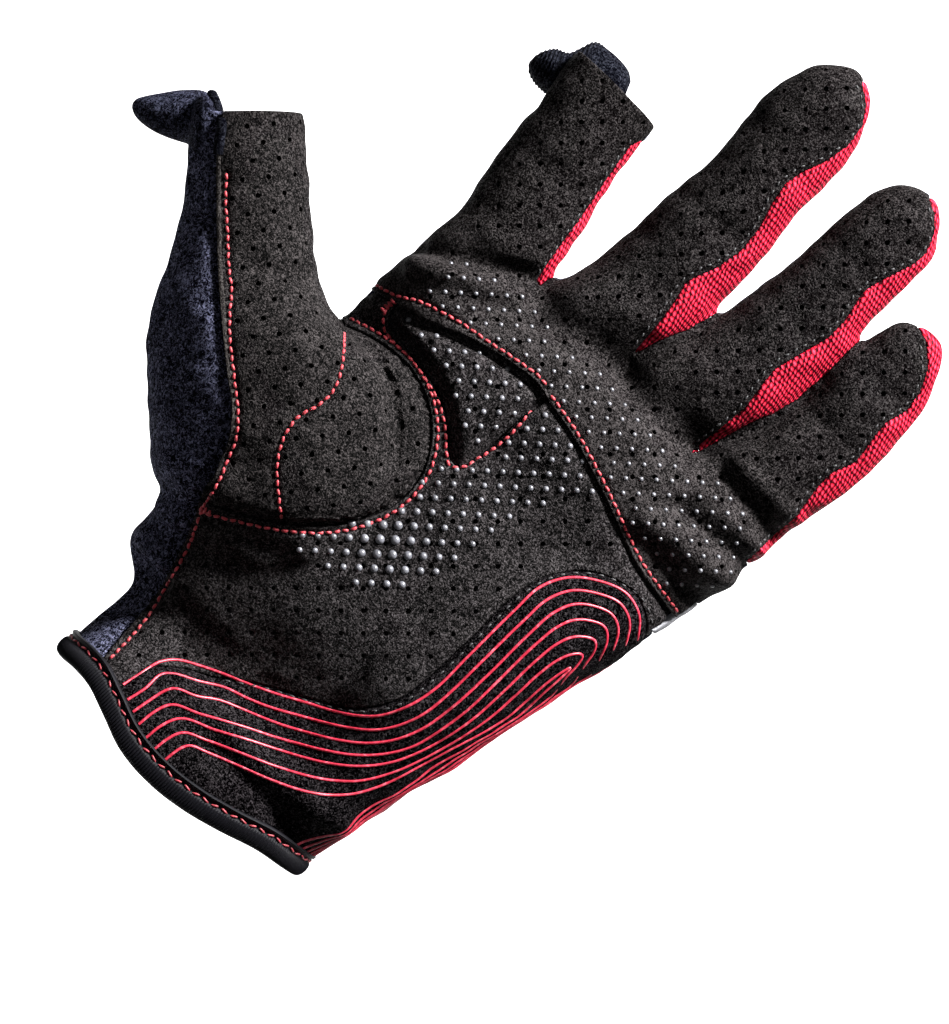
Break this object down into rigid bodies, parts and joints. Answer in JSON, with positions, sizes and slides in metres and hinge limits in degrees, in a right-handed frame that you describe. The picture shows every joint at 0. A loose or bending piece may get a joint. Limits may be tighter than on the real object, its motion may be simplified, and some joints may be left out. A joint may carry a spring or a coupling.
{
  "type": "mechanic glove",
  "caption": "Left-hand mechanic glove in its worn form: perforated suede palm, fleece back, red mesh finger gussets and thumb and index fingertip caps folded back.",
  "frame": {"origin": "middle of the wrist opening, where the hand goes in", "axes": "+Z along the hand from the wrist to the fingertips, -Y out of the palm, +X towards the little finger, thumb at -X"},
  "size_m": [0.1721, 0.0498, 0.2188],
  "materials": {
    "suede": "perforated napped black suede",
    "thumb_suede": "perforated napped charcoal suede",
    "fleece": "brushed navy-black fleece knit",
    "mesh": "crimson knit mesh",
    "elastic": "ribbed elastic binding, matt",
    "grey_knit": "light grey knit, matt"
  },
  "bodies": {
    "root": {"palm_panel": "suede", "finger_panel": "suede", "thumb_panel": "thumb_suede", "knuckle_pad": "suede", "heel_panel": "suede", "back_panel": "fleece", "index_gusset": "mesh", "middle_gusset": "mesh", "ring_gusset": "mesh", "little_gusset": "mesh", "thumb_cap": "fleece", "index_cap": "fleece", "wrist_binding": "elastic", "edge_trim": "grey_knit"}
  },
  "joints": []
}
